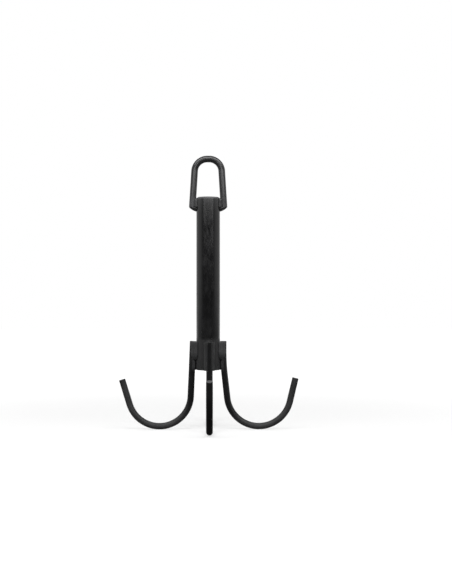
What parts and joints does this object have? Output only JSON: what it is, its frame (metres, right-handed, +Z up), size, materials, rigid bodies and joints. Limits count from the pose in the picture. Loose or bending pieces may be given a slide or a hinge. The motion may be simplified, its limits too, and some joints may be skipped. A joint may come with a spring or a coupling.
{
  "type": "grapnel anchor",
  "caption": "Small welded grapnel anchor: solid round shank, bent-rod loop at its upper end and round-rod hooks spread around its lower end, painted satin black.",
  "frame": {"origin": "on the shank's axis, at the level on which the hooks stand", "axes": "+Z up along the shank towards the loop; +X to the right arm, in the plane of the loop; -Y to the front arm"},
  "size_m": [0.1672, 0.1696, 0.255],
  "materials": {
    "black_paint": "satin black paint over steel bar, rod and weld beads"
  },
  "bodies": {
    "root": {"arm_front": "black_paint", "arm_left": "black_paint", "arm_rear": "black_paint", "arm_right": "black_paint", "shank": "black_paint", "top_loop": "black_paint", "weld_front_left": "black_paint", "weld_front_right": "black_paint", "weld_front_top": "black_paint", "weld_left_front": "black_paint", "weld_left_rear": "black_paint", "weld_loop_left_end": "black_paint", "weld_loop_left_front": "black_paint", "weld_loop_left_rear": "black_paint", "weld_loop_right_end": "black_paint", "weld_loop_right_front": "black_paint", "weld_loop_right_rear": "black_paint", "weld_rear_left": "black_paint", "weld_rear_right": "black_paint", "weld_right_front": "black_paint", "weld_right_rear": "black_paint"}
  },
  "joints": []
}
